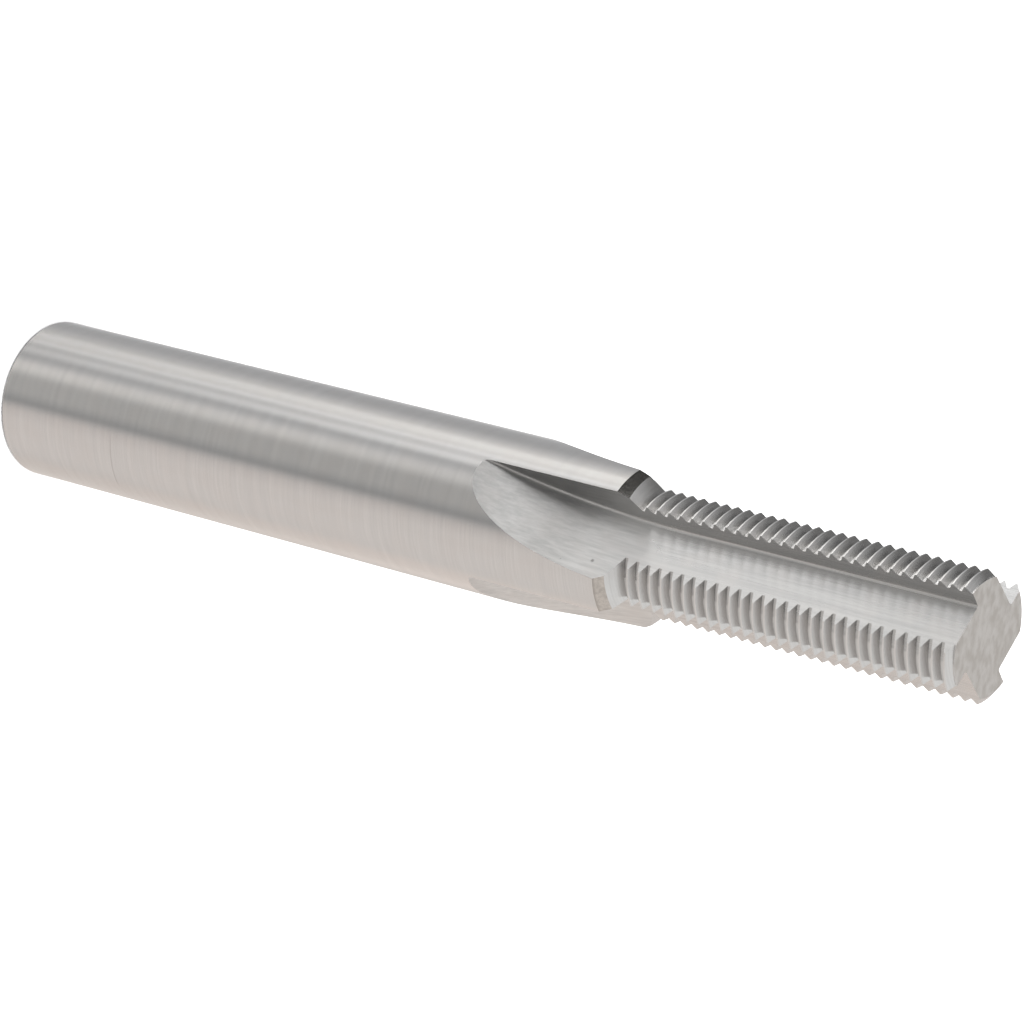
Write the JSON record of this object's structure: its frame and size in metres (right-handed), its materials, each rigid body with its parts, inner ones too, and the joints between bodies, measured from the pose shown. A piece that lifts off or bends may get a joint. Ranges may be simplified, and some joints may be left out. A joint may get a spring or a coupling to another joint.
{
  "type": "thread mill",
  "caption": "Solid carbide thread mill: plain round shank, straight flutes that run out in the shank, and a head of ring-shaped cutting teeth.",
  "frame": {"origin": "centre of the flat end face of the shank", "axes": "+Z along the tool axis from the shank end to the cutting end; +X through the cutting edge of the first land"},
  "size_m": [0.0126, 0.0126, 0.0889],
  "materials": {
    "carbide": "satin ground, light grey"
  },
  "bodies": {
    "root": {"thread_mill": "carbide"}
  },
  "joints": []
}
